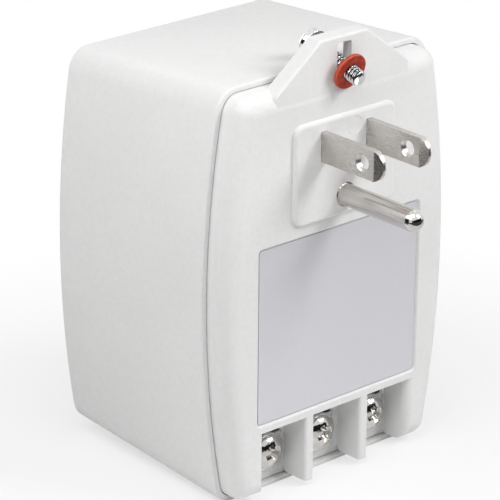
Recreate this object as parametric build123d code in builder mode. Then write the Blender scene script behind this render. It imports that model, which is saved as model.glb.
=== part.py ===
"""Plug-in transformer: a welded two-part case with grounded plug, mounting tab and three screw terminals.

The origin lies midway between the two blades, on the face of the plug pad. +Z is up, the plug points
towards -Y and the deep half of the case reaches towards +Y. Lengths are in millimetres.
"""

import math
import os

from build123d import *

os.makedirs("parts", exist_ok=True)

# Case outline at the parting plane, as the front cover's outer edge
CASE_HALF_WIDTH = 33.2
CASE_TOP = 15.0
CASE_BOTTOM = -76.5
CASE_BOW = 4.5
CASE_TOP_CORNER = 5.4
CASE_BOTTOM_CORNER = 5.0
CASE_LEAST_CORNER = 1.0

# Case depths, from the pad face backwards
FACE_Y = 1.1
PARTING_Y = 6.85
CASE_END_Y = 54.5

# Front cover
COVER_WALL = 2.3
COVER_END_WALL = 2.5
SIDE_DRAFT = 0.7
TOP_DRAFT = 2.8
BOTTOM_DRAFT = 3.3
END_BOW = 3.9
COVER_END_ROUND = 1.3
COVER_RIM_ROUND = 0.5
LAP_DEPTH = 3.6
LAP_END_GAP = 0.4

# Rear housing
RIM_STEP = 1.4
LAP_CLEARANCE = 0.2
HOUSING_WALL = 2.0
FACE_WALL = 2.3
FACE_ROUND = 4.0

# Raised pad that carries the plug
PAD_SIDE_MARGIN = 7.65
PAD_TOP_MARGIN = 2.4
PAD_BOTTOM_MARGIN = 1.9
PAD_CORNER = 2.2
PAD_ROUND = 0.7

# Grounded plug, to the usual 15 A pattern
BLADE_SPACING = 12.7
BLADE_WIDTH = 6.35
BLADE_THICKNESS = 1.52
BLADE_LENGTH = 17.6
BLADE_TIP_LENGTH = 2.35
BLADE_TIP_THICKNESS = 0.6
BLADE_HOLE = 3.3
BLADE_HOLE_INSET = 5.7
BLADE_HOLE_CHAMFER = 0.25
BLADE_SHOULDER_WIDTH = 9.0
BLADE_SHOULDER_LENGTH = 1.6
BLADE_TAIL_LENGTH = 4.2
PIN_DROP = 11.9
PIN_DIAMETER = 4.75
PIN_LENGTH = 21.9
PIN_TIP_FLAT = 0.15
PIN_ROOT_DIAMETER = 5.2
PIN_FLANGE_DIAMETER = 8.0
PIN_FLANGE_LENGTH = 1.4
PIN_TAIL_DIAMETER = 3.2
PIN_TAIL_LENGTH = 4.0
PLUG_CLEARANCE = 0.05

# Mounting tab above the case
TAB_HALF_WIDTH = 18.5
TAB_TOP_HALF_WIDTH = 6.5
TAB_SHOULDER_DROP = 0.7
TAB_RISE = 8.5
TAB_CREASE_DROP = 3.4
TAB_RECESS = 0.1
TAB_PLATE = 2.5
TAB_DEPTH = 3.8
TAB_FLANGE = 1.8
TAB_CORNER = 1.4
TAB_ROUND = 0.5
SLOT_CLEARANCE = 0.3
SLOT_TOP_MARGIN = 1.4
SLOT_LENGTH = 8.0
SLOT_CORNER = 0.7

# Mounting screw, leaning in the slot, and its retaining washer
SCREW_TILT = 17.0
SCREW_DIAMETER = 3.4
SCREW_HEAD_DIAMETER = 6.2
SCREW_HEAD_HEIGHT = 2.0
SCREW_HEAD_ROUND = 0.7
SCREW_SLOT_WIDTH = 1.0
SCREW_SLOT_DEPTH = 1.0
SCREW_TIP_REACH = 3.4
SCREW_HEAD_REACH = 11.0
SCREW_TIP_CHAMFER = 0.4
SCREW_REST_GAP = 0.02
WASHER_DIAMETER = 8.0
WASHER_THICKNESS = 0.8
WASHER_GAP = 0.1
WASHER_BORE_CLEARANCE = 0.05

# Rating label in its recess
LABEL_SIDE_MARGIN = 10.6
LABEL_PAD_GAP = 3.0
LABEL_BAY_GAP = 1.8
LABEL_CORNER = 0.8
LABEL_RECESS = 0.6
LABEL_RIM_CHAMFER = 0.4
LABEL_THICKNESS = 0.25
LABEL_MARGIN = 0.2

# Terminal bays
BAY_HEIGHT = 15.0
BAY_DEPTH = 6.95
BAY_MOUTH_ROUND = 2.0
BAY_WALL = 2.0
RIB_THICKNESS = 2.5
RIB_BOTTOM_RISE = 0.1
RIB_BOTTOM_ROUND = 1.6
RIB_EDGE_ROUND = 0.7

# Terminal plates, washers and screws
TERMINAL_RISE = 7.1
PLATE_WIDTH = 8.8
MIDDLE_PLATE_ROOM = 2.2
OUTER_PLATE_ROOM = 1.3
PLATE_TOP_RISE = 3.4
PLATE_BOTTOM_DROP = 4.6
PLATE_THICKNESS = 0.9
TAG_WIDTH = 6.0
TAG_REACH = 5.0
TAG_SLOT_RISE = 0.7
TAG_CLEARANCE = 0.1
TERMINAL_DIAMETER = 4.1
TERMINAL_LENGTH = 7.5
TERMINAL_HOLE_CLEARANCE = 0.06
SCREW_PASSAGE = 0.3
TERMINAL_HEAD_DIAMETER = 7.2
TERMINAL_HEAD_HEIGHT = 1.9
TERMINAL_HEAD_ROUND = 1.5
TERMINAL_WASHER_DIAMETER = 8.2
TERMINAL_WASHER_THICKNESS = 0.7
TERMINAL_TURN = 20.0
CROSS_SPAN = 3.8
CROSS_WIDTH = 0.9
CROSS_DEPTH = 1.2

# Laminated core, stamped without waste: the width is six yokes, the tongue two and the window three
YOKES_PER_WIDTH = 6
YOKES_PER_TONGUE = 2
YOKES_PER_WINDOW = 3
CORE_SIDE_ROOM = 2.4
CORE_RISE = 2.75
CORE_GAP = 0.05
CORE_REST_GAP = 0.1
POST_SIZE = 6.0

# Coil on its split bobbin
BOBBIN_WALL = 1.0
BOBBIN_CLEARANCE = 0.3
BOBBIN_FLANGE = 1.2
BOBBIN_END_GAP = 0.2
COIL_SIDE_ROOM = 1.15
COIL_FRONT_ROOM = 1.35
COIL_BACK_ROOM = 3.15
TAPE_THICKNESS = 0.3
COIL_GAP = 0.05
FLANGE_OVERHANG = 0.3

# Gap between pieces that lie on each other
SEAT_GAP = 0.02

# Leads
LEAD_DIAMETER = 1.6
LEAD_END_GAP = 0.05
LEAD_BEND = 3.0
LEAD_INSET = 3.65
LEAD_COIL_DEPTH = 1.2
LEAD_DROP = 7.0

# Depths and heights that follow from the sizes above
skirt_end_y = PARTING_Y + LAP_DEPTH - LAP_END_GAP
face_back_y = FACE_Y + FACE_WALL
cover_cavity_end_y = CASE_END_Y - COVER_END_WALL
bay_back_y = FACE_Y + BAY_DEPTH
tab_face_y = FACE_Y + TAB_RECESS
case_middle = (CASE_TOP + CASE_BOTTOM) / 2
housing_top = CASE_TOP - RIM_STEP
housing_bottom = CASE_BOTTOM + RIM_STEP
pad_half_width = BLADE_SPACING / 2 + PAD_SIDE_MARGIN
pad_top = BLADE_WIDTH / 2 + PAD_TOP_MARGIN
pad_bottom = -PIN_DROP - PIN_DIAMETER / 2 - PAD_BOTTOM_MARGIN
tab_crease = housing_top - TAB_CREASE_DROP
tab_shoulder = housing_top - TAB_SHOULDER_DROP
tab_top = housing_top + TAB_RISE
slot_width = SCREW_DIAMETER + 2 * SLOT_CLEARANCE
slot_top = tab_top - SLOT_TOP_MARGIN
bay_top = housing_bottom + BAY_HEIGHT
rib_centre = PLATE_WIDTH / 2 + MIDDLE_PLATE_ROOM + RIB_THICKNESS / 2
bay_inner = rib_centre + RIB_THICKNESS / 2
bay_outer = bay_inner + PLATE_WIDTH + 2 * OUTER_PLATE_ROOM
label_half_width = CASE_HALF_WIDTH - LABEL_SIDE_MARGIN
label_top = pad_bottom - LABEL_PAD_GAP
label_bottom = bay_top + LABEL_BAY_GAP
blade_tip_y = BLADE_TIP_LENGTH - BLADE_LENGTH
blade_tail_y = face_back_y + BLADE_SHOULDER_LENGTH + BLADE_TAIL_LENGTH
pin_tail_y = face_back_y + PIN_FLANGE_LENGTH + PIN_TAIL_LENGTH
terminal_xs = {
    "left": -(bay_inner + bay_outer) / 2,
    "middle": 0.0,
    "right": (bay_inner + bay_outer) / 2,
}
terminal_z = housing_bottom + TERMINAL_RISE
plate_front_y = bay_back_y - SEAT_GAP - PLATE_THICKNESS
terminal_head_y = plate_front_y - TERMINAL_WASHER_THICKNESS - 2 * SEAT_GAP
plate_top = terminal_z + PLATE_TOP_RISE
tag_end_y = skirt_end_y + TAG_REACH

# Core and coil: the width follows from the case's width, the stack's thickness from its depth
core_width = 2 * (CASE_HALF_WIDTH - COVER_WALL - CORE_SIDE_ROOM)
core_yoke = core_width / YOKES_PER_WIDTH
core_tongue = YOKES_PER_TONGUE * core_yoke
core_window = YOKES_PER_WINDOW * core_yoke
core_height = core_window + 2 * core_yoke
core_middle = case_middle + CORE_RISE
core_top = core_middle + core_height / 2
core_bottom = core_middle - core_height / 2
coil_top = core_middle + core_window / 2 - BOBBIN_END_GAP
coil_bottom = core_middle - core_window / 2 + BOBBIN_END_GAP
chamber_height = (coil_top - coil_bottom - 3 * BOBBIN_FLANGE) / 2
e_leg_top = core_top - core_yoke - CORE_GAP

# Margins round the core's tongue, from the bobbin's bore outwards
tube_margin = BOBBIN_CLEARANCE + BOBBIN_WALL
flange_margin = core_yoke - COIL_SIDE_ROOM
tape_margin = flange_margin - FLANGE_OVERHANG
winding_margin = tape_margin - TAPE_THICKNESS - COIL_GAP

# Depths of the coil and the core
coil_front_y = pin_tail_y + COIL_FRONT_ROOM
core_front_y = coil_front_y + flange_margin
core_back_y = cover_cavity_end_y - COIL_BACK_ROOM - flange_margin
core_stack = core_back_y - core_front_y
core_centre_y = (core_front_y + core_back_y) / 2

# Axis of the leaning screw, through the middle of its washer and towards its head
tilt = math.radians(SCREW_TILT)
washer_reach = WASHER_DIAMETER / 2 * math.sin(tilt) + WASHER_THICKNESS / 2 * math.cos(tilt)
head_drop = SCREW_HEAD_DIAMETER / 2 * math.cos(tilt)
washer_z = CASE_TOP + SCREW_REST_GAP + head_drop - SCREW_HEAD_REACH * math.sin(tilt)
screw_plane = Plane(
    origin=(0, tab_face_y - WASHER_GAP - washer_reach, washer_z),
    x_dir=(1, 0, 0),
    z_dir=(0, math.cos(tilt), math.sin(tilt)),
)


def at_y(y):
    """Plane across the case at depth y: its x is +X, its y is +Z and its normal is -Y."""
    return Plane.XZ.offset(-y)


def outline(half_width, top, bottom, bow, inset):
    """Case outline with bowed sides and round corners, moved inwards by inset."""
    middle = (top + bottom) / 2
    end_half_width = half_width - bow - inset
    with BuildSketch() as shape:
        with BuildLine():
            Line((-end_half_width, top - inset), (end_half_width, top - inset))
            ThreePointArc(
                (end_half_width, top - inset),
                (half_width - inset, middle),
                (end_half_width, bottom + inset),
            )
            Line((end_half_width, bottom + inset), (-end_half_width, bottom + inset))
            ThreePointArc(
                (-end_half_width, bottom + inset),
                (inset - half_width, middle),
                (-end_half_width, top - inset),
            )
        make_face()
        upper = shape.vertices().group_by(Axis.Y)[-1]
        fillet(upper, radius=max(CASE_TOP_CORNER - inset, CASE_LEAST_CORNER))
        lower = shape.vertices().group_by(Axis.Y)[0]
        fillet(lower, radius=max(CASE_BOTTOM_CORNER - inset, CASE_LEAST_CORNER))
    return shape.sketch


def near_outline(inset):
    """Case outline at the parting plane."""
    return outline(CASE_HALF_WIDTH, CASE_TOP, CASE_BOTTOM, CASE_BOW, inset)


def far_outline(inset):
    """Case outline at the far end of the front cover, smaller by the draft."""
    return outline(
        CASE_HALF_WIDTH - SIDE_DRAFT,
        CASE_TOP - TOP_DRAFT,
        CASE_BOTTOM + BOTTOM_DRAFT,
        END_BOW,
        inset,
    )


def tab_outline(inset):
    """Outline of the mounting tab, moved inwards by inset."""
    with BuildSketch() as shape:
        with BuildLine():
            Polyline(
                (-TAB_HALF_WIDTH, tab_crease),
                (-TAB_HALF_WIDTH, tab_shoulder),
                (-TAB_TOP_HALF_WIDTH, tab_top),
                (TAB_TOP_HALF_WIDTH, tab_top),
                (TAB_HALF_WIDTH, tab_shoulder),
                (TAB_HALF_WIDTH, tab_crease),
                close=True,
            )
        make_face()
        fillet(shape.vertices().sort_by(Axis.Y)[2:], radius=TAB_CORNER)
        if inset:
            offset(amount=-inset, mode=Mode.REPLACE)
    return shape.sketch


def coil_section(margin):
    """Section across the coil: the core's tongue grown by margin, its corners round about the bore's."""
    width = core_tongue + 2 * margin
    depth = core_stack + 2 * margin
    with BuildSketch() as shape:
        with Locations((0, core_centre_y)):
            Rectangle(width, depth)
        if margin > BOBBIN_CLEARANCE:
            fillet(shape.vertices(), radius=margin - BOBBIN_CLEARANCE)
    return shape.sketch


def save(builder, name):
    """Label a finished piece and write it to its own file."""
    builder.part.label = name
    export_step(builder.part, f"parts/{name}.step")


# Front cover: a drafted shell, open at the parting plane, with posts that hold the core
with BuildPart() as front_cover:
    with BuildSketch(at_y(PARTING_Y)):
        add(near_outline(0))
    with BuildSketch(at_y(CASE_END_Y)):
        add(far_outline(0))
    loft(ruled=True)
    fillet(front_cover.faces().sort_by(Axis.Y)[-1].edges(), radius=COVER_END_ROUND)
    fillet(front_cover.faces().sort_by(Axis.Y)[0].edges(), radius=COVER_RIM_ROUND)
    with BuildSketch(at_y(PARTING_Y)):
        add(near_outline(COVER_WALL))
    with BuildSketch(at_y(cover_cavity_end_y)):
        add(far_outline(COVER_WALL))
    loft(ruled=True, mode=Mode.SUBTRACT)
    with BuildSketch(at_y(PARTING_Y)):
        add(near_outline(RIM_STEP - LAP_CLEARANCE))
    extrude(amount=-LAP_DEPTH, mode=Mode.SUBTRACT)
    with BuildSketch(at_y(core_back_y + CORE_REST_GAP)):
        with Locations((0, core_middle)):
            with GridLocations(core_width - POST_SIZE, core_height - POST_SIZE, 2, 2):
                Rectangle(POST_SIZE, POST_SIZE)
    extrude(amount=-(cover_cavity_end_y - core_back_y), mode=Mode.ADD)
save(front_cover, "front_cover")

# Rib between two terminal bays, with a round lower front corner
with BuildPart() as bay_rib:
    with BuildSketch(Plane.YZ.offset(-RIB_THICKNESS / 2)):
        with BuildLine():
            Polyline(
                (FACE_Y, bay_top),
                (FACE_Y, housing_bottom + RIB_BOTTOM_RISE),
                (bay_back_y, housing_bottom + RIB_BOTTOM_RISE),
                (bay_back_y, bay_top),
                close=True,
            )
        make_face()
        fillet(vertices().sort_by(Axis.Y)[0:2].sort_by(Axis.Z)[0], radius=RIB_BOTTOM_ROUND)
    extrude(amount=RIB_THICKNESS)
    fillet(bay_rib.edges().filter_by(Axis.Z).group_by(Axis.Y)[0], radius=RIB_EDGE_ROUND)

# Mounting tab as a plate with rounded front edges
with BuildPart() as tab_blank:
    with BuildSketch(at_y(tab_face_y)):
        add(tab_outline(0))
    extrude(amount=-TAB_DEPTH)
    tab_front = tab_blank.faces().sort_by(Axis.Y)[0]
    fillet(tab_front.edges().sort_by(Axis.Z)[1:], radius=TAB_ROUND)

# Rear housing: plug face, skirt, pad, tab, label recess and terminal bays
with BuildPart() as rear_housing:
    with BuildSketch(at_y(FACE_Y)):
        add(near_outline(RIM_STEP))
    extrude(amount=-(skirt_end_y - FACE_Y))
    fillet(rear_housing.faces().sort_by(Axis.Y)[0].edges(), radius=FACE_ROUND)
    with BuildSketch(at_y(face_back_y)):
        add(near_outline(RIM_STEP + HOUSING_WALL))
        with Locations((0, housing_bottom)):
            Rectangle(
                2 * (bay_outer + BAY_WALL),
                bay_top + BAY_WALL - housing_bottom,
                align=(Align.CENTER, Align.MIN),
                mode=Mode.SUBTRACT,
            )
    extrude(amount=-(skirt_end_y - face_back_y), mode=Mode.SUBTRACT)

    # Terminal bays, cut into the block that is left solid, and the ribs between them
    with BuildSketch(Plane.XY.offset(bay_top)):
        with BuildLine():
            mouth = bay_outer + BAY_MOUTH_ROUND
            Line((-mouth, FACE_Y), (mouth, FACE_Y))
            RadiusArc((mouth, FACE_Y), (bay_outer, FACE_Y + BAY_MOUTH_ROUND), BAY_MOUTH_ROUND)
            Line((bay_outer, FACE_Y + BAY_MOUTH_ROUND), (bay_outer, bay_back_y))
            Line((bay_outer, bay_back_y), (-bay_outer, bay_back_y))
            Line((-bay_outer, bay_back_y), (-bay_outer, FACE_Y + BAY_MOUTH_ROUND))
            RadiusArc((-bay_outer, FACE_Y + BAY_MOUTH_ROUND), (-mouth, FACE_Y), BAY_MOUTH_ROUND)
        make_face()
    extrude(amount=-(bay_top - housing_bottom), mode=Mode.SUBTRACT)
    with Locations((-rib_centre, 0, 0), (rib_centre, 0, 0)):
        add(bay_rib.part)

    # Raised pad round the plug
    with BuildSketch(at_y(FACE_Y)):
        with Locations((0, (pad_top + pad_bottom) / 2)):
            RectangleRounded(2 * pad_half_width, pad_top - pad_bottom, PAD_CORNER)
    extrude(amount=FACE_Y)
    fillet(rear_housing.faces().sort_by(Axis.Y)[0].edges(), radius=PAD_ROUND)

    # Tab with its flange and slot
    add(tab_blank.part)
    with BuildSketch(at_y(tab_face_y + TAB_PLATE)):
        add(tab_outline(TAB_FLANGE))
        with Locations((0, housing_top)):
            Rectangle(
                2 * TAB_HALF_WIDTH,
                tab_top - housing_top,
                align=(Align.CENTER, Align.MIN),
                mode=Mode.INTERSECT,
            )
    extrude(amount=-(TAB_DEPTH - TAB_PLATE), mode=Mode.SUBTRACT)
    with BuildSketch(at_y(tab_face_y)):
        with Locations((0, slot_top - SLOT_LENGTH / 2)):
            RectangleRounded(slot_width, SLOT_LENGTH, SLOT_CORNER)
    extrude(amount=-TAB_DEPTH, mode=Mode.SUBTRACT)

    # Label recess
    with BuildSketch(at_y(FACE_Y)):
        with Locations((0, (label_top + label_bottom) / 2)):
            RectangleRounded(2 * label_half_width, label_top - label_bottom, LABEL_CORNER)
    extrude(amount=-LABEL_RECESS, mode=Mode.SUBTRACT)
    recess_rim = (
        rear_housing.edges()
        .filter_by_position(Axis.Y, FACE_Y - SEAT_GAP, FACE_Y + SEAT_GAP)
        .filter_by_position(Axis.X, -label_half_width - LABEL_MARGIN, label_half_width + LABEL_MARGIN)
        .filter_by_position(Axis.Z, label_bottom - LABEL_MARGIN, label_top + LABEL_MARGIN)
    )
    chamfer(recess_rim, length=LABEL_RIM_CHAMFER)

    # Openings for the blades and the pin
    with BuildSketch(at_y(0)):
        with GridLocations(BLADE_SPACING, 0, 2, 1):
            Rectangle(BLADE_THICKNESS + 2 * PLUG_CLEARANCE, BLADE_WIDTH + 2 * PLUG_CLEARANCE)
        with Locations((0, -PIN_DROP)):
            Circle(PIN_ROOT_DIAMETER / 2 + PLUG_CLEARANCE)
    extrude(amount=-face_back_y, mode=Mode.SUBTRACT)

    # Slots for the terminal tags and holes for the terminal screws
    with BuildSketch(at_y(bay_back_y)):
        for x in terminal_xs.values():
            with Locations((x, plate_top - PLATE_THICKNESS - TAG_CLEARANCE)):
                Rectangle(
                    PLATE_WIDTH,
                    PLATE_THICKNESS + TAG_CLEARANCE + TAG_SLOT_RISE,
                    align=(Align.CENTER, Align.MIN),
                )
            with Locations((x, terminal_z)):
                Circle(TERMINAL_DIAMETER / 2 + SCREW_PASSAGE)
    extrude(amount=-(skirt_end_y - bay_back_y), mode=Mode.SUBTRACT)

    # Posts that hold the core from the plug side
    with BuildSketch(at_y(core_front_y - CORE_REST_GAP)):
        with Locations((0, core_middle)):
            with GridLocations(core_width - POST_SIZE, core_height - POST_SIZE, 2, 2):
                Rectangle(POST_SIZE, POST_SIZE)
    extrude(amount=core_front_y - CORE_REST_GAP - face_back_y)
save(rear_housing, "rear_housing")

# Blank rating label
with BuildPart() as rating_label:
    with BuildSketch(at_y(FACE_Y + LABEL_RECESS - SEAT_GAP)):
        with Locations((0, (label_top + label_bottom) / 2)):
            RectangleRounded(
                2 * (label_half_width - LABEL_MARGIN),
                label_top - label_bottom - 2 * LABEL_MARGIN,
                LABEL_CORNER,
            )
    extrude(amount=LABEL_THICKNESS)
save(rating_label, "rating_label")

# Flat blades: bevelled and rounded tip, hole, shoulder behind the face and solder tail
for name, x in {"line_blade": -BLADE_SPACING / 2, "neutral_blade": BLADE_SPACING / 2}.items():
    shoulder_y = face_back_y + SEAT_GAP
    with BuildPart() as blade:
        with BuildSketch(Plane.XY.offset(-BLADE_SHOULDER_WIDTH / 2)):
            with BuildLine():
                Polyline(
                    (x - BLADE_TIP_THICKNESS / 2, -BLADE_LENGTH),
                    (x + BLADE_TIP_THICKNESS / 2, -BLADE_LENGTH),
                    (x + BLADE_THICKNESS / 2, blade_tip_y),
                    (x + BLADE_THICKNESS / 2, blade_tail_y),
                    (x - BLADE_THICKNESS / 2, blade_tail_y),
                    (x - BLADE_THICKNESS / 2, blade_tip_y),
                    close=True,
                )
            make_face()
        extrude(amount=BLADE_SHOULDER_WIDTH)
        with BuildSketch(Plane.YZ.offset(x - BLADE_THICKNESS / 2)):
            with BuildLine():
                Polyline(
                    (blade_tip_y, BLADE_WIDTH / 2),
                    (blade_tail_y, BLADE_WIDTH / 2),
                    (blade_tail_y, -BLADE_WIDTH / 2),
                    (blade_tip_y, -BLADE_WIDTH / 2),
                )
                ThreePointArc(
                    (blade_tip_y, -BLADE_WIDTH / 2),
                    (-BLADE_LENGTH, 0),
                    (blade_tip_y, BLADE_WIDTH / 2),
                )
            make_face()
            with Locations((shoulder_y, 0)):
                Rectangle(BLADE_SHOULDER_LENGTH, BLADE_SHOULDER_WIDTH, align=(Align.MIN, Align.CENTER))
            with Locations((BLADE_HOLE_INSET - BLADE_LENGTH, 0)):
                Circle(BLADE_HOLE / 2, mode=Mode.SUBTRACT)
        extrude(amount=BLADE_THICKNESS, mode=Mode.INTERSECT)
        hole_rims = blade.edges().filter_by(GeomType.CIRCLE).filter_by(lambda rim: rim.is_closed)
        chamfer(hole_rims, length=BLADE_HOLE_CHAMFER)
    save(blade, name)

# Ground pin with a domed tip, a thicker root, a flange behind the face and a solder tail
with BuildPart() as ground_pin:
    with BuildSketch(at_y(0)):
        with Locations((0, -PIN_DROP)):
            Circle(PIN_DIAMETER / 2)
    extrude(amount=PIN_LENGTH)
    fillet(ground_pin.faces().sort_by(Axis.Y)[0].edges(), radius=(PIN_DIAMETER - PIN_TIP_FLAT) / 2)
    with BuildSketch(at_y(face_back_y + SEAT_GAP)):
        with Locations((0, -PIN_DROP)):
            Circle(PIN_ROOT_DIAMETER / 2)
    extrude(amount=face_back_y + SEAT_GAP)
    with BuildSketch(at_y(face_back_y + SEAT_GAP)):
        with Locations((0, -PIN_DROP)):
            Circle(PIN_FLANGE_DIAMETER / 2)
    extrude(amount=-PIN_FLANGE_LENGTH)
    with BuildSketch(at_y(pin_tail_y)):
        with Locations((0, -PIN_DROP)):
            Circle(PIN_TAIL_DIAMETER / 2)
    extrude(amount=PIN_TAIL_LENGTH)
save(ground_pin, "ground_pin")

# Terminals: a bent plate, a washer that rides with the screw and the screw itself
for side, x in terminal_xs.items():
    with BuildPart() as terminal_plate:
        with BuildSketch(at_y(plate_front_y)):
            with Locations((x, plate_top)):
                Rectangle(
                    PLATE_WIDTH,
                    PLATE_TOP_RISE + PLATE_BOTTOM_DROP,
                    align=(Align.CENTER, Align.MAX),
                )
            with Locations((x, terminal_z)):
                Circle(TERMINAL_DIAMETER / 2 + TERMINAL_HOLE_CLEARANCE, mode=Mode.SUBTRACT)
        extrude(amount=-PLATE_THICKNESS)
        with BuildSketch(at_y(plate_front_y)):
            with Locations((x, plate_top)):
                Rectangle(TAG_WIDTH, PLATE_THICKNESS, align=(Align.CENTER, Align.MAX))
        extrude(amount=-(tag_end_y - plate_front_y))
    save(terminal_plate, f"terminal_plate_{side}")

    with BuildPart() as terminal_washer:
        with BuildSketch(at_y(plate_front_y - SEAT_GAP)):
            with Locations((x, terminal_z)):
                Circle(TERMINAL_WASHER_DIAMETER / 2)
                Circle(TERMINAL_DIAMETER / 2 + TERMINAL_HOLE_CLEARANCE, mode=Mode.SUBTRACT)
        extrude(amount=TERMINAL_WASHER_THICKNESS)
    save(terminal_washer, f"terminal_washer_{side}")

    with BuildPart() as terminal_screw:
        with BuildSketch(at_y(terminal_head_y)):
            with Locations((x, terminal_z)):
                Circle(TERMINAL_HEAD_DIAMETER / 2)
        extrude(amount=TERMINAL_HEAD_HEIGHT)
        fillet(terminal_screw.faces().sort_by(Axis.Y)[0].edges(), radius=TERMINAL_HEAD_ROUND)
        with BuildSketch(at_y(terminal_head_y)):
            with Locations((x, terminal_z)):
                Circle(TERMINAL_DIAMETER / 2)
        extrude(amount=-TERMINAL_LENGTH)
        with BuildSketch(at_y(terminal_head_y - TERMINAL_HEAD_HEIGHT)):
            with Locations(Location((x, terminal_z), TERMINAL_TURN)):
                Rectangle(CROSS_SPAN, CROSS_WIDTH)
                Rectangle(CROSS_WIDTH, CROSS_SPAN)
        extrude(amount=-CROSS_DEPTH, mode=Mode.SUBTRACT)
    save(terminal_screw, f"terminal_screw_{side}")

# Retaining washer of red fibre, leaning with the mounting screw
with BuildPart() as retaining_washer:
    with BuildSketch(screw_plane.offset(-WASHER_THICKNESS / 2)):
        Circle(WASHER_DIAMETER / 2)
        Circle(SCREW_DIAMETER / 2 + WASHER_BORE_CLEARANCE, mode=Mode.SUBTRACT)
    extrude(amount=WASHER_THICKNESS)
save(retaining_washer, "retaining_washer")

# Mounting screw with a slotted round head
with BuildPart() as mounting_screw:
    with BuildSketch(screw_plane.offset(-SCREW_TIP_REACH)):
        Circle(SCREW_DIAMETER / 2)
    extrude(amount=SCREW_TIP_REACH + SCREW_HEAD_REACH)
    chamfer(mounting_screw.faces().sort_by(Axis.Y)[0].edges(), length=SCREW_TIP_CHAMFER)
    with BuildSketch(screw_plane.offset(SCREW_HEAD_REACH)):
        Circle(SCREW_HEAD_DIAMETER / 2)
    extrude(amount=SCREW_HEAD_HEIGHT)
    fillet(mounting_screw.faces().sort_by(Axis.Y)[-1].edges(), radius=SCREW_HEAD_ROUND)
    with BuildSketch(screw_plane.offset(SCREW_HEAD_REACH + SCREW_HEAD_HEIGHT)):
        Rectangle(SCREW_SLOT_WIDTH, SCREW_HEAD_DIAMETER)
    extrude(amount=-SCREW_SLOT_DEPTH, mode=Mode.SUBTRACT)
save(mounting_screw, "mounting_screw")

# Core: an E stack with its legs upwards and an I stack across them
with BuildPart() as core_e_stack:
    with BuildSketch(at_y(core_front_y)):
        with Locations((0, core_bottom)):
            Rectangle(core_width, core_yoke, align=(Align.CENTER, Align.MIN))
            Rectangle(core_tongue, e_leg_top - core_bottom, align=(Align.CENTER, Align.MIN))
            with GridLocations(core_width - core_yoke, 0, 2, 1):
                Rectangle(core_yoke, e_leg_top - core_bottom, align=(Align.CENTER, Align.MIN))
    extrude(amount=-core_stack)
save(core_e_stack, "core_e_stack")

with BuildPart() as core_i_stack:
    with BuildSketch(at_y(core_front_y)):
        with Locations((0, core_top)):
            Rectangle(core_width, core_yoke, align=(Align.CENTER, Align.MAX))
    extrude(amount=-core_stack)
save(core_i_stack, "core_i_stack")

# Bobbin: a tube round the tongue with three flanges
with BuildPart() as bobbin:
    with BuildSketch(Plane.XY.offset(coil_bottom)):
        add(coil_section(tube_margin))
    extrude(amount=coil_top - coil_bottom)
    for flange_bottom in (coil_bottom, core_middle - BOBBIN_FLANGE / 2, coil_top - BOBBIN_FLANGE):
        with BuildSketch(Plane.XY.offset(flange_bottom)):
            add(coil_section(flange_margin))
        extrude(amount=BOBBIN_FLANGE)
    with BuildSketch(Plane.XY.offset(coil_bottom)):
        add(coil_section(BOBBIN_CLEARANCE))
    extrude(amount=coil_top - coil_bottom, mode=Mode.SUBTRACT)
save(bobbin, "bobbin")

# Windings in the two chambers, each under a wrap of tape
chamber_bottoms = {
    "primary": coil_bottom + BOBBIN_FLANGE,
    "secondary": core_middle + BOBBIN_FLANGE / 2,
}
for name, chamber_bottom in chamber_bottoms.items():
    for piece, inner_margin, outer_margin in (
        ("winding", tube_margin + COIL_GAP, winding_margin),
        ("tape", winding_margin + COIL_GAP, tape_margin),
    ):
        with BuildPart() as ring:
            with BuildSketch(Plane.XY.offset(chamber_bottom + COIL_GAP)):
                add(coil_section(outer_margin))
                add(coil_section(inner_margin), mode=Mode.SUBTRACT)
            extrude(amount=chamber_height - 2 * COIL_GAP)
        save(ring, f"{name}_{piece}")

# Leads: straight runs joined by tangent arcs
tag_lead_y = (skirt_end_y + tag_end_y) / 2
tag_lead_z = plate_top + LEAD_END_GAP
coil_lead_x = core_tongue / 2 + tube_margin + LEAD_COIL_DEPTH
coil_lead_y = coil_front_y + LEAD_INSET
ground_lead_y = pin_tail_y - PIN_TAIL_LENGTH / 2
lead_points = {}
for name, x in {"line_lead": -BLADE_SPACING / 2, "neutral_lead": BLADE_SPACING / 2}.items():
    lead_points[name] = [
        (x, blade_tail_y + LEAD_END_GAP, 0),
        (x, coil_lead_y, 0),
        (x, coil_lead_y, coil_top + LEAD_END_GAP),
    ]
for side, sign in {"left": -1, "right": 1}.items():
    x = terminal_xs[side]
    lead_points[f"secondary_lead_{side}"] = [
        (sign * coil_lead_x, coil_lead_y, coil_bottom - LEAD_END_GAP),
        (sign * coil_lead_x, coil_lead_y, coil_bottom - LEAD_DROP),
        (x, tag_lead_y, tag_lead_z + LEAD_DROP),
        (x, tag_lead_y, tag_lead_z),
    ]
lead_points["ground_lead"] = [
    (0, ground_lead_y, -PIN_DROP - PIN_TAIL_DIAMETER / 2 - LEAD_END_GAP),
    (0, ground_lead_y, tag_lead_z + 2 * LEAD_DROP),
    (0, tag_lead_y, tag_lead_z + LEAD_DROP),
    (0, tag_lead_y, tag_lead_z),
]
for name, points in lead_points.items():
    with BuildPart() as lead:
        with BuildLine() as path:
            FilletPolyline(*points, radius=LEAD_BEND)
        with BuildSketch(Plane(origin=path.line @ 0, z_dir=path.line % 0)):
            Circle(LEAD_DIAMETER / 2)
        sweep()
    save(lead, name)
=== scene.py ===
"""Looks of the plug-in transformer: finer screws and washers, materials, floor, light and camera.

Lengths in this script are in millimetres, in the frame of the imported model, and become metres in the meshes.
"""

import math

import bmesh
import bpy
from mathutils import Matrix, Vector


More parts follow.
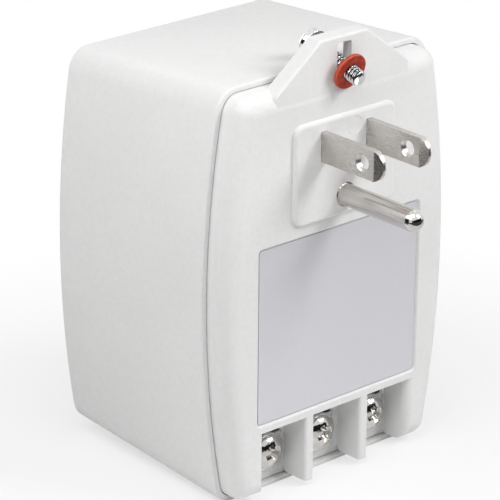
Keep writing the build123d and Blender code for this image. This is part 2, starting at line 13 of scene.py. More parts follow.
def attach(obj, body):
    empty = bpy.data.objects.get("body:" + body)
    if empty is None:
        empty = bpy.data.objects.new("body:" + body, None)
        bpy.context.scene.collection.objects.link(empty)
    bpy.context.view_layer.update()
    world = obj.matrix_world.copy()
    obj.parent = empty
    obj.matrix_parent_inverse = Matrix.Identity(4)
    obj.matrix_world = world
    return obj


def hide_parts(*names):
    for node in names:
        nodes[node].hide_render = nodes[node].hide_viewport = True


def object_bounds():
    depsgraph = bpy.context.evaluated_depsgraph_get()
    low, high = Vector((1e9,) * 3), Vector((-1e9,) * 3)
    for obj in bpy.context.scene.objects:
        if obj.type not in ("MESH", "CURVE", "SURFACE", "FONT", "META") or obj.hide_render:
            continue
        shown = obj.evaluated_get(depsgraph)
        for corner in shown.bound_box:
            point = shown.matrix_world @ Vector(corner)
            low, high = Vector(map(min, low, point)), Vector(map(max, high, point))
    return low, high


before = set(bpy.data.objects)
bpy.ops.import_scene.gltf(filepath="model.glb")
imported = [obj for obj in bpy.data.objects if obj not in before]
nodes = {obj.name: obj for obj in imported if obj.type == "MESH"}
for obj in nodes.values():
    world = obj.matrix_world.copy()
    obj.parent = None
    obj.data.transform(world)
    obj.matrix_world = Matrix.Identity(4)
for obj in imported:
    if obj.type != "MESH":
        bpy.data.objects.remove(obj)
cad_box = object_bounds()
scene = bpy.context.scene
MM = 0.001
SIDES = ("left", "middle", "right")
OUTWARD = Vector((0, -1, 0))
WHITE = (1, 1, 1, 1)

# Camera fitted to the photograph
LENS = 221.01
SENSOR = 36.0
CAMERA_AZIMUTH = math.radians(-42.032)
CAMERA_ELEVATION = math.radians(21.898)
CAMERA_ROLL = math.radians(0.497)
CAMERA_TARGET = Vector((-8.309, 20.0, -28.211))
CAMERA_DISTANCE = 645.19
CLIP_END = 20.0

# Mounting screw, leaning in the tab's slot: heights are along its axis from the middle of its washer
SCREW_TILT = math.radians(17.0)
SCREW_AXIS = Vector((0, math.cos(SCREW_TILT), math.sin(SCREW_TILT)))
SCREW_ORIGIN = Vector((0, -0.452, 14.768))
SCREW_RADIUS = 1.7
SCREW_TIP = -3.4
SCREW_TIP_FLAT = 0.6
SCREW_TIP_RISE = 0.14
SCREW_NECK = 9.8
SCREW_NECK_STEP = 0.05
SCREW_HEAD_BASE = 11.0
SCREW_HEAD_TOP = 13.0
SCREW_HEAD_RADIUS = 3.1
SCREW_HEAD_EDGE = 0.15
SHOULDER_RADIUS = 0.8
SHOULDER_DROP = 0.95
SHOULDER_DEGREES = 70
SHOULDER_STEPS = 8
CROWN_RADIUS = 1.6
CROWN_DROP = 0.07
CROWN_FLAT = 0.6
SCREW_SLOT = 1.0
SCREW_SLOT_DEPTH = 1.0
SCREW_SLOT_TURN = math.radians(-33.0)
SLOT_CUT_MARGIN = 1.0

# Painted shade in the roots of the mounting screw's thread: radii between which it fades, and its start above
# the tip
ROOT_SHADE_FULL = 1.38
ROOT_SHADE_CLEAR = 1.56
ROOT_SHADE_MARGIN = 0.3
ROOT_SHADE_COLOUR = (0.05, 0.05, 0.055, 1)

# Fibre washer on the mounting screw: its rim is paler from a radius on and towards its corners
FIBRE_RADIUS = 4.0
FIBRE_BORE = 1.75
FIBRE_HALF = 0.4
FIBRE_EDGE = 0.22
FIBRE_EDGE_STEPS = 5
FIBRE_SEGMENTS = 64
FIBRE_PALE_FROM = 3.86
FIBRE_FRAY = 0.08
FIBRE_CORNER_FROM = 0.14
FIBRE_CORNER_FULL = 0.28

# Terminal screws: heights are along the axis from the underside of the head
TERMINAL_X = {"left": -14.8, "middle": 0.0, "right": 14.8}
TERMINAL_Z = -68.0
TERMINAL_HEAD_Y = 6.39
TERMINAL_RADIUS = 2.05
TERMINAL_LENGTH = 7.5
TERMINAL_RUNOUT = -0.6
TERMINAL_THREAD_END = -0.5
TERMINAL_NECK = -0.4
TERMINAL_HEAD_RADIUS = 3.6
TERMINAL_HEAD_HEIGHT = 1.9
TERMINAL_HEAD_EDGE = 0.12
TERMINAL_TURN = math.radians(20.0)

# Domes of the terminal screws, and their cross recesses with floor and mouth as shares of span and width
DOME_RIM = 0.5
DOME_DEGREES = 88.0
DOME_STEPS = 14
CROSS_SPAN = 5.0
CROSS_WIDTH = 1.3
CROSS_DEPTH = 1.5
CROSS_FLOOR_SPAN_SHARE = 0.4
CROSS_FLOOR_WIDTH_SHARE = 0.7
CROSS_MOUTH_SHARE = 1.1
CROSS_CUT_MARGIN = 0.4

# Terminal washers
WASHER_FRONT_Y = 6.41
WASHER_BACK_Y = 7.11
WASHER_RADIUS = 4.1
WASHER_BORE = 2.11
WASHER_EDGE = 0.18
WASHER_EDGE_STEPS = 4
WASHER_SEGMENTS = 56

# Lower edges of heads and threads of all screws, with crest and flank as shares of half a pitch
HEAD_EDGE_DEGREES = -60
HEAD_EDGE_STEPS = 4
PITCH = 0.79375
THREAD_DEPTH = 0.44
CREST_SHARE = 0.12
FLANK_SHARE = 0.72
TIP_CHAMFER = 0.4
ROWS_PER_PITCH = 18
SCREW_SEGMENTS = 56

# Angles in degrees from which an edge is shaded sharp
SCREW_SHARP = 32
WASHER_SHARP = 50
MARK_SHARP = 60

# Round mark that an ejector pin leaves on the pad
MARK_PLACE = Vector((2.4, 0.0, 2.7))
MARK_RADIUS = 2.0
MARK_HALF_WIDTH = 0.14
MARK_HEIGHT = 0.06
MARK_SINK = 0.03
MARK_STEPS = 8
MARK_SEGMENTS = 64

# Box of the slots behind the terminal plates, inside which shade is painted into the case's colour
SLOT_SHADE_LOW = (-19.4, 8.12, -65.8)
SLOT_SHADE_HIGH = (19.4, 14.0, -63.7)
SLOT_SHADE_COLOUR = (0.015, 0.015, 0.015, 1)

# Ground pin along Y: polished from its tip to the first place, satin from the second
PIN_POLISHED = -20.4
PIN_SATIN = -19.6

# Sockets of a Mix node for colours, and the radians that a band texture of scale 1 runs in a metre
MIX_FACTOR = 0
MIX_FIRST = 6
MIX_SECOND = 7
MIX_RESULT = 2
BAND_RADIANS = 20

# World's strength as a light, and the floor in metres, whose glow grows to full white from near to far
WORLD_LIGHT = 0.12
FLOOR_HALF = 6.0
FLOOR_NEAR = 0.04
FLOOR_FAR = 0.13
FLOOR_GLOW = 0.62

# Soft square lamps with place, size and power: a key in front at the right, fills left, above and behind
FOCUS = Vector((0, 20, -25))
LAMPS = (
    ("key_lamp", Vector((260, -340, 340)), 260, 2.0),
    ("left_lamp", Vector((-190, -60, 170)), 150, 0.23),
    ("left_back_lamp", Vector((-170, 60, 140)), 120, 0.14),
    ("upper_lamp", Vector((-120, -140, 330)), 240, 0.35),
    ("back_lamp", Vector((-40, 480, 70)), 300, 0.4),
)

# Cards that only reflections see, each with its tone, one corner and two sides
FLOOR_Z = cad_box[0].z / MM
CARD_Z = FLOOR_Z + 1
BLACK = 0.02
PALE = 0.75
CARDS = (
    ("front_card", BLACK, Vector((-1500, -1200, FLOOR_Z)), Vector((3000, 0, 0)), Vector((0, 0, 520))),
    ("table_card", BLACK, Vector((-900, -1200, CARD_Z)), Vector((2000, 0, 0)), Vector((0, 1090, 0))),
    ("near_card", PALE, Vector((-200, -110, CARD_Z)), Vector((600, 0, 0)), Vector((0, 105, 0))),
    ("left_card", BLACK, Vector((-600, -100, CARD_Z)), Vector((480, 0, 0)), Vector((0, 900, 0))),
    ("left_wall", BLACK, Vector((-600, -100, FLOOR_Z)), Vector((0, 900, 0)), Vector((0, 0, 320))),
    ("high_card", BLACK, Vector((-537, 364, 643)), Vector((276, 230, 0)), Vector((-101, 122, -206))),
)


def clamp(value):
    """Value held between 0 and 1."""
    return min(max(value, 0.0), 1.0)


def profile_arc(centre, radius, start, end, steps):
    """Points (radius, height) of an arc in a turned piece's half section, with angles in degrees."""
    points = []
    for step in range(steps + 1):
        angle = math.radians(start + (end - start) * step / steps)
        points.append((centre[0] + radius * math.cos(angle), centre[1] + radius * math.sin(angle)))
    return points


def head_edge(radius, base, edge):
    """Half section of a head's rounded lower edge, from its underside to its side."""
    centre = (radius - edge, base + edge)
    return [(radius - edge, base)] + profile_arc(centre, edge, HEAD_EDGE_DEGREES, 0, HEAD_EDGE_STEPS)


def dome_section(radius, height, rim):
    """Half section of a domed head from its outer rim to near its middle."""
    rise = height - rim
    ball = (radius * radius + rise * rise) / (2 * rise)
    centre = (0.0, height - ball)
    start = math.degrees(math.asin((rim - centre[1]) / ball))
    return profile_arc(centre, ball, start, DOME_DEGREES, DOME_STEPS)


def washer_section(radius, bore, low, high, edge, steps):
    """Closed half section of a washer with four rounded rims."""
    outer = radius - edge
    inner = bore + edge
    centres = ((outer, high - edge), (inner, high - edge), (inner, low + edge), (outer, low + edge))
    section = []
    for quarter, centre in enumerate(centres):
        section += profile_arc(centre, edge, 90 * quarter, 90 * (quarter + 1), steps)
    return section


def thread_radius(height, turn, radius, tip, runout):
    """Radius of a right-hand thread at a height and a fraction of a turn, faded out at tip and runout."""
    phase = (height / PITCH - turn) % 1.0
    from_crest = abs(phase - 0.5) * 2.0
    depth = clamp((from_crest - CREST_SHARE) / FLANK_SHARE) * THREAD_DEPTH
    fade = clamp((runout - height) / PITCH)
    chamfer = radius - TIP_CHAMFER * max(0.0, 1.0 - (height - tip) / TIP_CHAMFER)
    return min(radius - depth * fade, chamfer)


def fixed_rings(section):
    """Rings of a plain turned section: each gives the same point at every turn."""
    return [lambda turn, point=point: point for point in section]


def thread_rings(start, end, radius, tip, runout):
    """Rings of a threaded shank from start to end along the axis."""
    count = round((end - start) / PITCH * ROWS_PER_PITCH)
    rings = []
    for row in range(count + 1):
        height = start + (end - start) * row / count
        rings.append(
            lambda turn, height=height: (thread_radius(height, turn, radius, tip, runout), height)
        )
    return rings


def join_loops(mesh, lower, upper):
    """Faces between two closed loops with equally many corners."""
    for index in range(len(lower)):
        after = (index + 1) % len(lower)
        mesh.faces.new((lower[index], lower[after], upper[after], upper[index]))


def close_ends(mesh, loops):
    """Faces over the first and the last loop."""
    mesh.faces.new(list(reversed(loops[0])))
    mesh.faces.new(loops[-1])


def turned(rings, segments, solid):
    """Mesh of revolution about z from rings, each a function of the turn that gives (radius, height).

    A solid one is closed over its first and last ring. Otherwise the last ring meets the first.
    """
    mesh = bmesh.new()
    loops = []
    for ring in rings:
        loop = []
        for column in range(segments):
            turn = column / segments
            radius, height = ring(turn)
            angle = 2 * math.pi * turn
            loop.append(mesh.verts.new((radius * math.cos(angle), radius * math.sin(angle), height)))
        loops.append(loop)
    for lower, upper in zip(loops, loops[1:]):
        join_loops(mesh, lower, upper)
    if solid:
        close_ends(mesh, loops)
    else:
        join_loops(mesh, loops[-1], loops[0])
    bmesh.ops.recalc_face_normals(mesh, faces=mesh.faces)
    return mesh


def prism(outlines):
    """Closed mesh through outlines of equal length, each a list of (x, y, z)."""
    mesh = bmesh.new()
    loops = [[mesh.verts.new(point) for point in outline] for outline in outlines]
    for lower, upper in zip(loops, loops[1:]):
        join_loops(mesh, lower, upper)
    close_ends(mesh, loops)
    bmesh.ops.recalc_face_normals(mesh, faces=mesh.faces)
    return mesh


def cross_outline(span, width, height):
    """Outline of a cross recess at one height."""
    reach = span / 2
    half = width / 2
    points = [
        (reach, -half), (reach, half), (half, half), (half, reach), (-half, reach), (-half, half),
        (-reach, half), (-reach, -half), (-half, -half), (-half, -reach), (half, -reach), (half, -half),
    ]
    return [(x, y, height) for x, y in points]


def box_outline(half_x, half_y, height):
    """Rectangle at one height."""
    signs = ((-1, -1), (1, -1), (1, 1), (-1, 1))
    return [(x * half_x, y * half_y, height) for x, y in signs]


def cut(mesh, cutter):
    """Cut one closed bmesh out of another and give the result as a new bmesh."""
    objects = []
    for label, source in (("blank", mesh), ("cutter", cutter)):
        data = bpy.data.meshes.new(label)
        source.to_mesh(data)
        source.free()
        helper = bpy.data.objects.new(label, data)
        scene.collection.objects.link(helper)
        objects.append(helper)
    blank, tool = objects
    modifier = blank.modifiers.new("cut", "BOOLEAN")
    modifier.operation = "DIFFERENCE"
    modifier.solver = "EXACT"
    modifier.object = tool
    result = bmesh.new()
    result.from_object(blank, bpy.context.evaluated_depsgraph_get())
    for helper in objects:
        data = helper.data
        bpy.data.objects.remove(helper)
        bpy.data.meshes.remove(data)
    return result


def placed(origin, axis):
    """Matrix to a frame at origin whose z axis is the given one and whose x axis is the model's."""
    side = Vector((1, 0, 0))
    up = axis.cross(side)
    return Matrix.Translation(origin) @ Matrix((side, up, axis)).transposed().to_4x4()


def at_terminal(side_name, y):
    """Matrix to a frame at a terminal whose z axis points out of the bay."""
    return placed(Vector((TERMINAL_X[side_name], y, TERMINAL_Z)), OUTWARD)


def finish_piece(mesh, name, placement, sharp_degrees):
    """Turn a bmesh in millimetres into a smooth-shaded object in the model's frame."""
    mesh.transform(Matrix.Scale(MM, 4) @ placement)
    data = bpy.data.meshes.new(name)
    mesh.to_mesh(data)
    mesh.free()
    data.polygons.foreach_set("use_smooth", [True] * len(data.polygons))
    data.set_sharp_from_angle(angle=math.radians(sharp_degrees))
    piece = bpy.data.objects.new(name, data)
    scene.collection.objects.link(piece)
    return piece


def make_mounting_screw():
    """Slotted round-head screw with a cut thread."""
    rings = fixed_rings([(SCREW_TIP_FLAT, SCREW_TIP)])
    rings += thread_rings(SCREW_TIP + SCREW_TIP_RISE, SCREW_NECK, SCREW_RADIUS, SCREW_TIP, SCREW_NECK)
    section = [(SCREW_RADIUS, SCREW_NECK + SCREW_NECK_STEP), (SCREW_RADIUS, SCREW_HEAD_BASE)]
    section += head_edge(SCREW_HEAD_RADIUS, SCREW_HEAD_BASE, SCREW_HEAD_EDGE)
    shoulder = (SCREW_HEAD_RADIUS - SHOULDER_RADIUS, SCREW_HEAD_TOP - SHOULDER_DROP)
    section += profile_arc(shoulder, SHOULDER_RADIUS, 0, SHOULDER_DEGREES, SHOULDER_STEPS)
    section += [(CROWN_RADIUS, SCREW_HEAD_TOP - CROWN_DROP), (CROWN_FLAT, SCREW_HEAD_TOP)]
    blank = turned(rings + fixed_rings(section), SCREW_SEGMENTS, solid=True)
    half_x = SCREW_SLOT / 2
    half_y = SCREW_HEAD_RADIUS + SLOT_CUT_MARGIN
    floor = SCREW_HEAD_TOP - SCREW_SLOT_DEPTH
    top = SCREW_HEAD_TOP + SLOT_CUT_MARGIN
    slot = prism([box_outline(half_x, half_y, floor), box_outline(half_x, half_y, top)])
    slot.transform(Matrix.Rotation(SCREW_SLOT_TURN, 4, "Z"))
    placement = placed(SCREW_ORIGIN, SCREW_AXIS)
    return finish_piece(cut(blank, slot), "mounting_screw_detail", placement, SCREW_SHARP)


def make_fibre_washer():
    """Stamped fibre washer with rounded rims."""
    section = washer_section(
        FIBRE_RADIUS, FIBRE_BORE, -FIBRE_HALF, FIBRE_HALF, FIBRE_EDGE, FIBRE_EDGE_STEPS
    )
    mesh = turned(fixed_rings(section), FIBRE_SEGMENTS, solid=False)
    placement = placed(SCREW_ORIGIN, SCREW_AXIS)
    return finish_piece(mesh, "retaining_washer_detail", placement, WASHER_SHARP)


def make_terminal_screw(side_name):
    """Domed cross-recess screw with a cut thread."""
    tip = -TERMINAL_LENGTH
    rings = thread_rings(tip, TERMINAL_THREAD_END, TERMINAL_RADIUS, tip, TERMINAL_RUNOUT)
    section = [(TERMINAL_RADIUS, TERMINAL_NECK), (TERMINAL_RADIUS, 0.0)]
    section += head_edge(TERMINAL_HEAD_RADIUS, 0.0, TERMINAL_HEAD_EDGE)
    section += dome_section(TERMINAL_HEAD_RADIUS, TERMINAL_HEAD_HEIGHT, DOME_RIM)
    blank = turned(rings + fixed_rings(section), SCREW_SEGMENTS, solid=True)
    floor = TERMINAL_HEAD_HEIGHT - CROSS_DEPTH
    top = TERMINAL_HEAD_HEIGHT + CROSS_CUT_MARGIN
    recess = prism(
        [
            cross_outline(CROSS_SPAN * CROSS_FLOOR_SPAN_SHARE, CROSS_WIDTH * CROSS_FLOOR_WIDTH_SHARE, floor),
            cross_outline(CROSS_SPAN * CROSS_MOUTH_SHARE, CROSS_WIDTH * CROSS_MOUTH_SHARE, top),
        ]
    )
    recess.transform(Matrix.Rotation(TERMINAL_TURN, 4, "Z"))
    placement = at_terminal(side_name, TERMINAL_HEAD_Y)
    return finish_piece(cut(blank, recess), f"terminal_screw_{side_name}_detail", placement, SCREW_SHARP)


def make_terminal_washer(side_name):
    """Flat washer with rounded rims."""
    thickness = WASHER_BACK_Y - WASHER_FRONT_Y
    section = washer_section(WASHER_RADIUS, WASHER_BORE, 0.0, thickness, WASHER_EDGE, WASHER_EDGE_STEPS)
    mesh = turned(fixed_rings(section), WASHER_SEGMENTS, solid=False)
    placement = at_terminal(side_name, WASHER_BACK_Y)
    return finish_piece(mesh, f"terminal_washer_{side_name}_detail", placement, WASHER_SHARP)


def make_pad_mark():
    """Low round bead on the pad."""
    section = [(MARK_RADIUS + MARK_HALF_WIDTH, -MARK_SINK)]
    for step in range(MARK_STEPS + 1):
        angle = math.pi * step / MARK_STEPS
        section.append((MARK_RADIUS + MARK_HALF_WIDTH * math.cos(angle), MARK_HEIGHT * math.sin(angle)))
    section.append((MARK_RADIUS - MARK_HALF_WIDTH, -MARK_SINK))
    mesh = turned(fixed_rings(section), MARK_SEGMENTS, solid=False)
    return finish_piece(mesh, "pad_mark", placed(MARK_PLACE, OUTWARD), MARK_SHARP)


class Graph:
    """Node tree of one material, with short ways to add and join nodes."""

    def __init__(self, name):
        self.material = bpy.data.materials.new(name)
        self.material.use_nodes = True
        self.tree = self.material.node_tree
        self.shader = self.tree.nodes["Principled BSDF"]
        self.place = self.tree.nodes.new("ShaderNodeTexCoord").outputs["Object"]

    def put(self, socket, value):
        """Set an input to a number or colour, or join it to an output."""
        if isinstance(value, bpy.types.NodeSocket):
            self.tree.links.new(value, socket)
        else:
            socket.default_value = value

    def stretched(self, scale):
        """Object coordinates scaled along each axis."""
        mapping = self.tree.nodes.new("ShaderNodeMapping")
        self.put(mapping.inputs["Vector"], self.place)
        mapping.inputs["Scale"].default_value = scale
        return mapping.outputs["Vector"]

    def along(self, axis, vector=None):
        """Part of a vector along one axis, and without a vector the object coordinate, in metres."""
        split = self.tree.nodes.new("ShaderNodeSeparateXYZ")
        self.put(split.inputs["Vector"], vector or self.place)
        return split.outputs[axis]

    def length(self, vector):
        """Length of a vector."""
        node = self.tree.nodes.new("ShaderNodeVectorMath")
        node.operation = "LENGTH"
        self.put(node.inputs[0], vector)
        return node.outputs["Value"]

    def about_axis(self, origin, tilt):
        """Distance from an axis and height along it, in metres.

        The axis goes through origin, in millimetres, and leans up from +Y by tilt.
        """
        mapping = self.tree.nodes.new("ShaderNodeMapping")
        mapping.vector_type = "TEXTURE"
        mapping.inputs["Location"].default_value = origin * MM
        mapping.inputs["Rotation"].default_value = (tilt - math.pi / 2, 0, 0)
        self.put(mapping.inputs["Vector"], self.place)
        flat = self.tree.nodes.new("ShaderNodeVectorMath")
        flat.operation = "MULTIPLY"
        self.put(flat.inputs[0], mapping.outputs["Vector"])
        flat.inputs[1].default_value = (1, 1, 0)
        return self.length(flat.outputs["Vector"]), self.along("Z", mapping.outputs["Vector"])

    def noise(self, size_mm, detail=2.0, vector=None, distortion=0.0):
        """Noise whose features are about size_mm across."""
        node = self.tree.nodes.new("ShaderNodeTexNoise")
        self.put(node.inputs["Vector"], vector or self.place)
        node.inputs["Scale"].default_value = 1.0 / (size_mm * MM)
        node.inputs["Detail"].default_value = detail
        node.inputs["Distortion"].default_value = distortion
        return node.outputs["Fac"]

    def bands(self, axis, period_mm, distortion):
        """Soft bands along one axis with a period."""
        node = self.tree.nodes.new("ShaderNodeTexWave")
        node.wave_type = "BANDS"
        node.bands_direction = axis
        self.put(node.inputs["Vector"], self.place)
        node.inputs["Scale"].default_value = 2 * math.pi / (BAND_RADIANS * period_mm * MM)
        node.inputs["Distortion"].default_value = distortion
        return node.outputs["Fac"]

    def specks(self, cell_mm, size_mm, share):
        """Sparse round specks: 1 inside a speck and 0 elsewhere."""
        cells = self.tree.nodes.new("ShaderNodeTexVoronoi")
        self.put(cells.inputs["Vector"], self.place)
        cells.inputs["Scale"].default_value = 1.0 / (cell_mm * MM)
        inside = self.math("LESS_THAN", cells.outputs["Distance"], size_mm / cell_mm)
        split = self.tree.nodes.new("ShaderNodeSeparateColor")
        self.put(split.inputs["Color"], cells.outputs["Color"])
        chosen = self.math("LESS_THAN", split.outputs["Red"], share)
        return self.math("MULTIPLY", inside, chosen)

    def math(self, operation, first, second):
        """Arithmetic on two values."""
        node = self.tree.nodes.new("ShaderNodeMath")
        node.operation = operation
        self.put(node.inputs[0], first)
        self.put(node.inputs[1], second)
        return node.outputs[0]

    def between(self, value, low, high):
        """1 where a value in metres is between two places in millimetres, and 0 elsewhere."""
        above = self.math("GREATER_THAN", value, low * MM)
        return self.math("MULTIPLY", above, self.math("LESS_THAN", value, high * MM))

    def inside(self, low, high):
        """1 inside a box between two corners in millimetres, and 0 outside it."""
        across, deep, upright = [
            self.between(self.along(axis), start, end) for axis, start, end in zip("XYZ", low, high)
        ]
        return self.math("MULTIPLY", self.math("MULTIPLY", across, deep), upright)

    def spread(self, value, low, high, start=0.0, end=1.0):
        """Map a value from start..end to low..high, held at the ends."""
        node = self.tree.nodes.new("ShaderNodeMapRange")
        self.put(node.inputs["Value"], value)
        node.inputs["From Min"].default_value = start
        node.inputs["From Max"].default_value = end
        node.inputs["To Min"].default_value = low
        node.inputs["To Max"].default_value = high
        return node.outputs["Result"]

    def blend(self, factor, first, second):
        """Mix two colours."""
        node = self.tree.nodes.new("ShaderNodeMix")
        node.data_type = "RGBA"
        self.put(node.inputs[MIX_FACTOR], factor)
        self.put(node.inputs[MIX_FIRST], first)
        self.put(node.inputs[MIX_SECOND], second)
        return node.outputs[MIX_RESULT]

    def tones(self, value, start, end, first, second):
        """Colour that goes from the first to the second as a value goes from start to end."""
        return self.blend(self.spread(value, 0.0, 1.0, start, end), first, second)

    def bump(self, height, depth_mm, strength, below=None):
        """Bump of a height field, on top of another bump if one is given."""
        node = self.tree.nodes.new("ShaderNodeBump")
        node.inputs["Strength"].default_value = strength
        node.inputs["Distance"].default_value = depth_mm * MM
        self.put(node.inputs["Height"], height)
        if below:
            self.put(node.inputs["Normal"], below)
        return node.outputs["Normal"]

    def done(self, **inputs):
        """Set the shader's inputs by name and give the material."""
        for name, value in inputs.items():
            self.put(self.shader.inputs[name.replace("_", " ")], value)
        return self.material


def case_plastic():
    """Satin white moulded plastic: fine grain, faint clouding, a few specks, and painted shade in its slots.
    """
    graph = Graph("case_plastic")
    cloud = graph.noise(24.0, detail=3.0)
    grain = graph.noise(0.32)
    wave = graph.noise(9.0, detail=1.0)
    mottle = graph.noise(1.1, detail=3.0)
    tint = graph.tones(cloud, 0.3, 0.7, (0.795, 0.795, 0.79, 1), (0.825, 0.825, 0.82, 1))
    mottled = graph.blend(graph.spread(mottle, 0.0, 0.3, 0.4, 0.65), tint, (0.74, 0.74, 0.735, 1))
    specked = graph.blend(graph.specks(11.0, 0.11, 0.3), mottled, (0.28, 0.27, 0.25, 1))
    return graph.done(
        # Painted shade: the colour turns near black inside the box of the slots behind the terminal plates
        Base_Color=graph.blend(graph.inside(SLOT_SHADE_LOW, SLOT_SHADE_HIGH), specked, SLOT_SHADE_COLOUR),
        Roughness=graph.spread(grain, 0.54, 0.7),
        Normal=graph.bump(grain, 0.05, strength=0.8, below=graph.bump(wave, 0.05, strength=0.25)),
        Specular_IOR_Level=0.18,
    )


def label_foil():
    """Silver-grey foil: satin lacquer over fine rolling lines, slightly wavy where it is stuck down."""
    graph = Graph("label_foil")
    rolled = graph.noise(0.3, vector=graph.stretched((1.0, 0.02, 0.12)))
    ripple = graph.noise(7.0, detail=1.0)
    grain = graph.noise(0.2, detail=1.0)
    return graph.done(
        Base_Color=graph.tones(rolled, 0.3, 0.7, (0.69, 0.687, 0.727, 1), (0.705, 0.702, 0.742, 1)),
        Metallic=0.25,
        Roughness=graph.spread(grain, 0.34, 0.46),
        Normal=graph.bump(grain, 0.006, strength=0.3, below=graph.bump(ripple, 0.04, strength=0.3)),
    )


def plug_nickel():
    """Nickel-plated blades, brushed along their length."""
    graph = Graph("plug_nickel")
    lines = graph.noise(0.12, detail=3.0, vector=graph.stretched((1.0, 0.06, 1.0)))
    smudge = graph.noise(5.0)
    grain = graph.noise(0.28, detail=3.0, vector=graph.stretched((1.0, 0.5, 1.0)))
    brushed = graph.tones(lines, 0.3, 0.7, (0.61, 0.585, 0.56, 1), (0.68, 0.655, 0.63, 1))
    return graph.done(
        Base_Color=graph.blend(graph.spread(grain, 0.18, 0.0, 0.35, 0.6), brushed, (0.5, 0.47, 0.445, 1)),
        Metallic=1.0,
        Roughness=graph.math("ADD", graph.spread(lines, 0.22, 0.3), graph.spread(smudge, -0.03, 0.05)),
        Normal=graph.bump(lines, 0.004, strength=0.2, below=graph.bump(grain, 0.005, strength=0.15)),
    )


def pin_nickel():
    """Turned ground pin: satin lengthwise lines on the shank, a polished tip."""
    graph = Graph("pin_nickel")
    lines = graph.noise(0.22, detail=3.0, vector=graph.stretched((1.0, 0.03, 1.0)))
    tip = graph.spread(graph.along("Y"), 1.0, 0.0, PIN_POLISHED * MM, PIN_SATIN * MM)
    return graph.done(
        Base_Color=graph.tones(lines, 0.3, 0.7, (0.58, 0.56, 0.535, 1), (0.75, 0.73, 0.71, 1)),
        Metallic=1.0,
        Roughness=graph.math("MULTIPLY", graph.spread(lines, 0.14, 0.27), graph.spread(tip, 1.0, 0.3)),
        Normal=graph.bump(lines, 0.01, strength=0.25),
    )


def bright_plating(name, dark, light, painted_root_shade):
    """Bright plating of a screw, slightly wavy, with faint pits and smears.

    The mounting screw's thread has painted shade in its roots: they turn near black.
    """
    graph = Graph(name)
    smear = graph.noise(1.6, detail=3.0)
    dents = graph.noise(0.9, detail=1.0)
    pits = graph.noise(0.14)
    colour = graph.tones(smear, 0.35, 0.65, dark, light)
    if painted_root_shade:
        # Painted shade: the colour turns near black towards the roots of the thread, where shade falls in the
        # grooves
        radius, height = graph.about_axis(SCREW_ORIGIN, SCREW_TILT)
        root_shade = graph.spread(radius, 1.0, 0.0, ROOT_SHADE_FULL * MM, ROOT_SHADE_CLEAR * MM)
        thread = graph.between(height, SCREW_TIP + ROOT_SHADE_MARGIN, SCREW_NECK)
        colour = graph.blend(graph.math("MULTIPLY", root_shade, thread), colour, ROOT_SHADE_COLOUR)
    return graph.done(
        Base_Color=colour,
        Metallic=1.0,
        Roughness=graph.spread(smear, 0.05, 0.13),
        Normal=graph.bump(pits, 0.006, strength=0.25, below=graph.bump(dents, 0.09, strength=0.6)),
    )


def washer_zinc():
    """Duller plating of the stamped washers."""
    graph = Graph("washer_zinc")
    smear = graph.noise(1.1, detail=3.0)
    pits = graph.noise(0.18)
    return graph.done(
        Base_Color=graph.tones(smear, 0.35, 0.65, (0.5, 0.5, 0.5, 1), (0.64, 0.64, 0.63, 1)),
        Metallic=1.0,
        Roughness=graph.spread(smear, 0.24, 0.38),
        Normal=graph.bump(pits, 0.012, strength=0.3),
    )


def plate_nickel():
    """Stamped terminal plates with a rolled surface across their width."""
    graph = Graph("plate_nickel")
    rolled = graph.noise(0.2, detail=3.0, vector=graph.stretched((0.05, 1.0, 1.0)))
    stain = graph.noise(3.0)
    return graph.done(
        Base_Color=graph.tones(stain, 0.35, 0.65, (0.62, 0.61, 0.58, 1), (0.74, 0.73, 0.7, 1)),
        Metallic=1.0,
        Roughness=graph.spread(rolled, 0.2, 0.34),
        Normal=graph.bump(rolled, 0.012, strength=0.3),
    )


def red_fibre():
    """Vulcanised fibre: mottled red with short fibres, paler towards the corners of its rim."""
    graph = Graph("red_fibre")
    mottle = graph.noise(0.9, detail=4.0)
    fibres = graph.noise(0.12, detail=3.0, vector=graph.stretched((0.25, 1.0, 1.0)), distortion=0.6)
    flat = graph.tones(mottle, 0.35, 0.65, (0.30, 0.022, 0.009, 1), (0.50, 0.05, 0.02, 1))
    specked = graph.blend(graph.specks(1.3, 0.16, 0.4), flat, (0.6, 0.12, 0.06, 1))
    radius, height = graph.about_axis(SCREW_ORIGIN, SCREW_TILT)
    frayed = graph.math("ADD", radius, graph.spread(fibres, -FIBRE_FRAY * MM, FIBRE_FRAY * MM))
    rim = graph.spread(frayed, 0.0, 1.0, FIBRE_PALE_FROM * MM, FIBRE_RADIUS * MM)
    from_middle = graph.math("ABSOLUTE", height, 0.0)
    corner = graph.spread(from_middle, 0.1, 0.9, FIBRE_CORNER_FROM * MM, FIBRE_CORNER_FULL * MM)
    return graph.done(
        Base_Color=graph.blend(graph.math("MULTIPLY", corner, rim), specked, (0.68, 0.19, 0.12, 1)),
        Roughness=graph.spread(fibres, 0.5, 0.68),
        Specular_IOR_Level=0.3,
        Normal=graph.bump(fibres, 0.03, strength=0.45),
    )


def lamination_steel():
    """Stacked core sheets: a line between sheets, varnish and a little tarnish."""
    graph = Graph("lamination_steel")
    sheets = graph.bands("Y", 0.5, distortion=0.3)
    tarnish = graph.noise(4.0, detail=4.0)
    line = graph.spread(sheets, 0.0, 1.0, 0.0, 0.25)
    steel = graph.tones(tarnish, 0.4, 0.7, (0.21, 0.215, 0.23, 1), (0.27, 0.2, 0.15, 1))
    return graph.done(
        Base_Color=graph.blend(line, (0.05, 0.045, 0.04, 1), steel),
        Metallic=0.85,
        Roughness=graph.spread(tarnish, 0.34, 0.56),
        Normal=graph.bump(line, 0.05, strength=0.5),
    )


